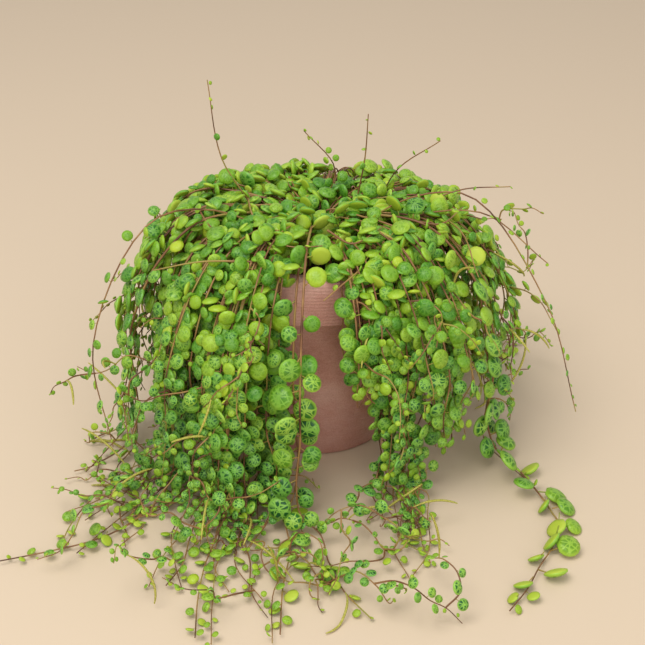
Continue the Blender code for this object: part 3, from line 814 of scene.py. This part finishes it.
# The strand that lies out alone on the right keeps its leaves full size down to the floor.
LONE_STRAND = 41
MAIN_RADIUS, BRANCH_RADIUS, TWIG_RADIUS = 0.00070, 0.00055, 0.00046
LEAF_SPACING, TWIG_LEAF_SPACING = 0.0064, 0.0060
number = 0
for layer_name, layer in LAYERS.items():
    stems = [(azimuth, hanging_route, tip) for azimuth, tip in HANGING[layer_name]]
    stems += [(azimuth, lying_route, places) for azimuth, places in LYING[layer_name]]
    for azimuth, make_route, end in stems:
        number += 1
        rng = random.Random(1000 + number)
        lying = make_route is lying_route
        main = make_route(azimuth, end, layer, random.Random(number))
        width = LARGE_LEAVED.get(number, 0.0088 if lying else 0.0098)
        floor_share = 1.0 if number == LONE_STRAND else 0.72
        shoots = [dict(route=main, radius=MAIN_RADIUS, first=0.010, spacing=LEAF_SPACING, width=width,
                       tip_width=0.0045, floor_share=floor_share)]
        branches, twigs = OWN_GROWTH.get(number, GROWTH[make_route])
        for _ in range(branches):
            beside = {
                "root": min(max(layer["root"] + rng.uniform(-0.014, 0.008), 0.004), 0.046),
                "over_rim": layer["over_rim"] + rng.uniform(-0.003, 0.003),
                "stand_off": max(0.0075, layer["stand_off"] + rng.uniform(-0.009, 0.005)),
            }
            turn = azimuth + rng.uniform(-9.0, 9.0)
            if lying and rng.random() < 0.7:
                places = end[:max(1, round(len(end) * rng.uniform(0.3, 1.2)))]
                near = [(x + rng.uniform(-0.012, 0.012), y + rng.uniform(-0.012, 0.012)) for x, y in places]
                route = lying_route(turn, near, beside, rng, BRANCH_SWAY)
            else:
                tip = rng.uniform(0.012, 0.060) if lying else max(end + rng.uniform(-0.012, 0.036), 0.008)
                route = hanging_route(turn, tip, beside, rng, BRANCH_SWAY)
            if not grows_clear(route.points):
                continue
            width = rng.uniform(0.0060, 0.0088) if lying else rng.uniform(0.0068, 0.0098)
            shoots.append(dict(route=route, radius=BRANCH_RADIUS, first=0.012, spacing=LEAF_SPACING,
                               width=width, tip_width=0.0036, floor_share=floor_share))
        for _ in range(twigs):
            route = side_route(rng.choice(shoots)["route"], rng, rng.uniform(0.022, 0.060), lying)
            if not grows_clear(route.points):
                continue
            width = rng.uniform(0.0040, 0.0070)
            shoots.append(dict(route=route, radius=TWIG_RADIUS, first=0.006, spacing=TWIG_LEAF_SPACING,
                               width=width, tip_width=0.0022, floor_share=0.8))
        spikes = rng.choice((0, 1, 2)) + 2 * lying
        piece = grow_plant(f"leafy_stem_{number:02d}", f"trailing_stem_{number:02d}",
                           shoots, spikes, rng)

# ---------------------------------------------------------------------------------------------
# Young shoots. Thin red brown stems that have outgrown the mound, nearly bare, with leaves of
# a few millimetres. Some stand up from the crown and some arch out past it.
# ---------------------------------------------------------------------------------------------
SHOOTS = {
    "upright_shoot_01": [(-0.030, 0.004), (-0.047, 0.004, 0.150), (-0.052, 0.000, 0.192)],
    "upright_shoot_02": [(0.020, 0.008), (0.025, 0.010, 0.148), (0.026, 0.004, 0.173)],
    "upright_shoot_03": [(0.004, 0.020), (0.010, 0.021, 0.136), (-0.006, 0.020, 0.158)],
    "upright_shoot_04": [(0.032, 0.014), (0.040, 0.012, 0.138), (0.062, 0.004, 0.159)],
    "upright_shoot_05": [(0.041, 0.000), (0.072, 0.002, 0.133), (0.098, 0.000, 0.136)],
    "arching_shoot_01": [(0.038, -0.012), (0.080, -0.026, 0.134), (0.114, -0.034, 0.110)],
    "arching_shoot_02": [(0.024, -0.012), (0.070, -0.030, 0.146), (0.112, -0.046, 0.096),
                         (0.132, -0.050, 0.034)],
    "arching_shoot_03": [(-0.024, -0.022), (-0.072, -0.056, 0.146), (-0.104, -0.078, 0.090),
                         (-0.098, -0.084, 0.036)],
}
SPROUT = 0.010
# The width and spacing of the leaves on most of these shoots, and on those that differ.
YOUNG_LEAVES = (0.0034, 0.0085)
OWN_LEAVES = {"upright_shoot_03": (0.0056, 0.0036), "arching_shoot_03": (0.0055, 0.0085)}
for index, (name, (root, *places)) in enumerate(SHOOTS.items()):
    rng = random.Random(3000 + index)
    foot = Vector((*root, soil_surface(*root) + SOIL_BUMP))
    route = Route([foot, foot + UP * SPROUT] + [Vector(place) for place in places])
    width, spacing = OWN_LEAVES.get(name, YOUNG_LEAVES)
    shoots = [dict(route=route, radius=BRANCH_RADIUS, first=0.015, spacing=spacing, width=width,
                   tip_width=0.0018, floor_share=1.0)]
    piece = grow_plant(name + "_grown", name, shoots, 0, rng)

# ---------------------------------------------------------------------------------------------
# Runners. Long thin tan stems with few leaves that wander over the crown and lie on the leaves
# below them.
# ---------------------------------------------------------------------------------------------
RUNNERS = [
    [(-0.035, 0.008, 0.130), (-0.031, -0.020, 0.130), (-0.025, -0.040, 0.130), (-0.012, -0.055, 0.130),
     (0.007, -0.052, 0.129)],
    [(-0.060, 0.007, 0.126), (-0.057, -0.013, 0.128), (-0.048, -0.035, 0.128), (-0.025, -0.057, 0.127)],
    [(0.006, -0.040, 0.131), (0.017, -0.052, 0.130), (0.032, -0.037, 0.131)],
    [(0.028, -0.051, 0.121), (0.018, -0.065, 0.120), (0.004, -0.084, 0.117)],
    [(-0.027, -0.059, 0.124), (-0.054, -0.059, 0.124), (-0.076, -0.058, 0.119)],
    [(0.051, -0.024, 0.128), (0.058, -0.029, 0.129), (0.074, -0.005, 0.127)],
    [(0.057, -0.008, 0.126), (0.068, -0.018, 0.124), (0.077, -0.059, 0.116)],
]
RUNNER_RADIUS = 0.00060
rng = random.Random(4000)
shoots = []
for places in RUNNERS:
    route = Route([Vector(place) for place in places], UP)
    shoots.append(dict(route=route, radius=RUNNER_RADIUS, first=0.012, spacing=0.0150, width=0.0045,
                       tip_width=0.0030, floor_share=1.0))
runners = grow_plant("crown_runners", None, shoots, 0, rng)

# ---------------------------------------------------------------------------------------------
# Stage. A plain pale matt floor that the pot stands on, a large soft light overhead with a weak
# fill from the front, a pale sky, and the camera.
# ---------------------------------------------------------------------------------------------
bpy.ops.object.select_all(action="DESELECT")
bpy.ops.mesh.primitive_plane_add(size=12.0, location=(0, 0, 0))
floor = bpy.context.active_object
floor.name = "floor"
board, tree, shader = new_material("board_pale_matt_paint", Roughness=0.75, Specular_IOR_Level=0.2,
                                   Base_Color=linear("#D9C3A8"))
floor.data.materials.append(board)
floor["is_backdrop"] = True

world = bpy.data.worlds.new("soft_sky")
scene.world = world
world.use_nodes = True
world.node_tree.nodes["Background"].inputs["Color"].default_value = linear("#F4F6F8")
world.node_tree.nodes["Background"].inputs["Strength"].default_value = 0.66

MIDDLE = Vector((0.0035, 0.0, 0.0573))
for name, place, size, power in [
    ("overhead_softbox", (-0.4, -0.45, 1.3), 1.0, 12.5),
    ("front_fill", (0.5, -1.3, 0.6), 1.2, 6.0),
]:
    lamp = bpy.data.lights.new(name, "AREA")
    lamp.shape = "DISK"
    lamp.size = size
    lamp.energy = power
    obj = bpy.data.objects.new(name, lamp)
    scene.collection.objects.link(obj)
    obj.location = place
    obj.rotation_euler = (MIDDLE - Vector(place)).to_track_quat("-Z", "Y").to_euler()

lens = bpy.data.cameras.new("camera")
lens.sensor_width = 36.0
lens.lens = 74.96
camera = bpy.data.objects.new("camera", lens)
scene.collection.objects.link(camera)
camera.location = (0.0035, -0.6184, 0.4129)
camera.rotation_euler = (MIDDLE - camera.location).to_track_quat("-Z", "Y").to_euler()
scene.camera = camera
scene.view_settings.view_transform = "Standard"

low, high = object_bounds()
